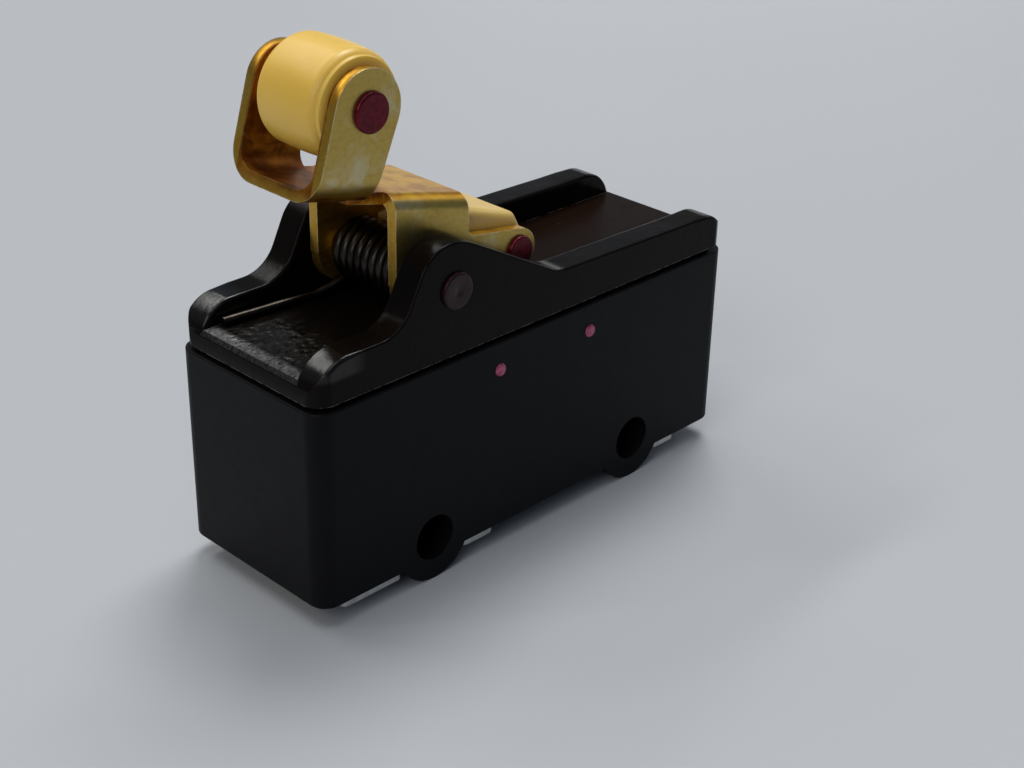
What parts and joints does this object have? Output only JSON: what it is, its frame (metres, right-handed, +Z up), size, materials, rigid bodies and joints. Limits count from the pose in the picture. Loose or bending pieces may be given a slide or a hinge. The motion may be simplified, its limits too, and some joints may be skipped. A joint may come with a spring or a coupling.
{
  "type": "reverse-acting roller lever micro limit switch",
  "caption": "Snap-action micro limit switch in a black phenolic case with a gold chromated reverse-acting roller lever, nylon roller and shoe, and two mounting holes.",
  "frame": {"origin": "below the middle of the case, on the plane of the mounting lug bottoms", "axes": "+X along the case from the roller end to the plunger end, +Y across the case, along the pivot pin, +Z up from the mounting lugs to the roller"},
  "size_m": [0.0502, 0.0184, 0.0463],
  "materials": {
    "phenolic": "moulded, satin, scuffed edges",
    "chromated_steel": "zinc plated, yellow chromate",
    "nylon": "natural nylon, aged cream",
    "red_lacquer": "crimson lacquer on steel",
    "spring_steel": "oiled dark spring steel",
    "brass": "plain",
    "tinned_brass": "tinned",
    "beryllium_copper": "plain",
    "silver": "plain",
    "plunger_resin": "moulded"
  },
  "bodies": {
    "housing": {"case": "phenolic", "cover": "phenolic", "cover_pins": "red_lacquer", "pivot_pin": "red_lacquer", "pivot_sleeve": "brass", "torsion_spring": "spring_steel", "snap_blade": "beryllium_copper", "leaf_anchor": "brass", "blade_spacer": "brass", "blade_nut": "brass", "common_post": "brass", "no_post": "brass", "nc_post": "brass", "common_terminal": "tinned_brass", "nc_terminal": "tinned_brass", "no_terminal": "tinned_brass", "no_contact": "silver", "nc_contact": "silver", "nc_bracket": "brass"},
    "lever_arm": {"lever": "chromated_steel", "roller_pin": "red_lacquer", "shoe": "nylon", "shoe_pin": "red_lacquer"},
    "roller_wheel": {"roller": "nylon"},
    "plunger_pin": {"plunger": "plunger_resin"},
    "contact_arm": {"moving_contact": "silver"}
  },
  "joints": [
    {"name": "lever_pivot", "type": "hinge", "parent": "housing", "child": "lever_arm", "pos_m": [-0.01012, 0, 0.02628], "axis": [0, -1, 0], "range_deg": [0, 12], "stiffness_Nm_per_rad": 0.04, "springref_deg": -34.38, "deforming": ["torsion_spring"]},
    {"name": "roller_spin", "type": "hinge", "parent": "lever_arm", "child": "roller_wheel", "pos_m": [-0.01595, 0, 0.04167], "axis": [0, 1, 0], "continuous": true},
    {"name": "plunger_slide", "type": "slide", "parent": "housing", "child": "plunger_pin", "axis": [0, 0, 1], "range_m": [0, 0.001]},
    {"name": "contact_snap", "type": "hinge", "parent": "housing", "child": "contact_arm", "pos_m": [-0.0194, 0, 0.01145], "axis": [0, -1, 0], "range_deg": [0, 2.82], "deforming": ["snap_blade"]}
  ],
  "couplings": [
    {"joint": "plunger_slide", "follows": "lever_pivot", "m_per_rad": 0.00477},
    {"joint": "contact_snap", "follows": "lever_pivot", "ratio": 0.2345}
  ]
}
